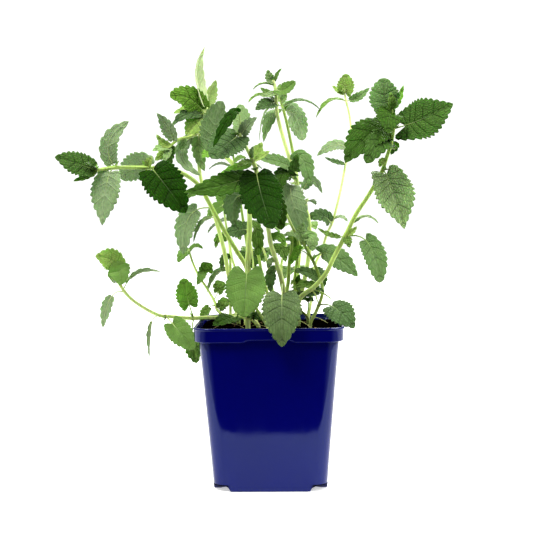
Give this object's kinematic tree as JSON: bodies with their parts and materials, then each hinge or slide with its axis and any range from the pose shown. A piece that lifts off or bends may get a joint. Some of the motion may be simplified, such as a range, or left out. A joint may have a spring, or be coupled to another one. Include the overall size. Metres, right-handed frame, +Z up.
{
  "type": "potted catmint",
  "caption": "Bushy herb with soft toothed leaves in pairs on thin square stems, growing from soil in a deep square plastic nursery pot.",
  "frame": {"origin": "middle of the pot's flat underside, on the surface it stands on", "axes": "+Z up out of the pot, -Y towards the viewer, the side of the pot that faces the front, +X to the right"},
  "size_m": [0.2962, 0.1911, 0.3472],
  "materials": {
    "pot": "glossy deep blue thin plastic",
    "soil": "moist loose peat and bark, rough",
    "foliage": "soft green leaves and stems, finely haired"
  },
  "bodies": {
    "root": {"pot": "pot", "soil": "soil", "stem_left": "foliage", "stem_left_tall": "foliage", "stem_centre": "foliage", "stem_mid": "foliage", "stem_top": "foliage", "stem_top_behind": "foliage", "stem_slim": "foliage", "stem_right": "foliage", "stem_dark": "foliage", "stem_runner": "foliage", "stem_low_left": "foliage", "stem_inner_left": "foliage", "stem_inner_right": "foliage", "stem_back_left": "foliage", "stem_back_right": "foliage"}
  },
  "joints": []
}
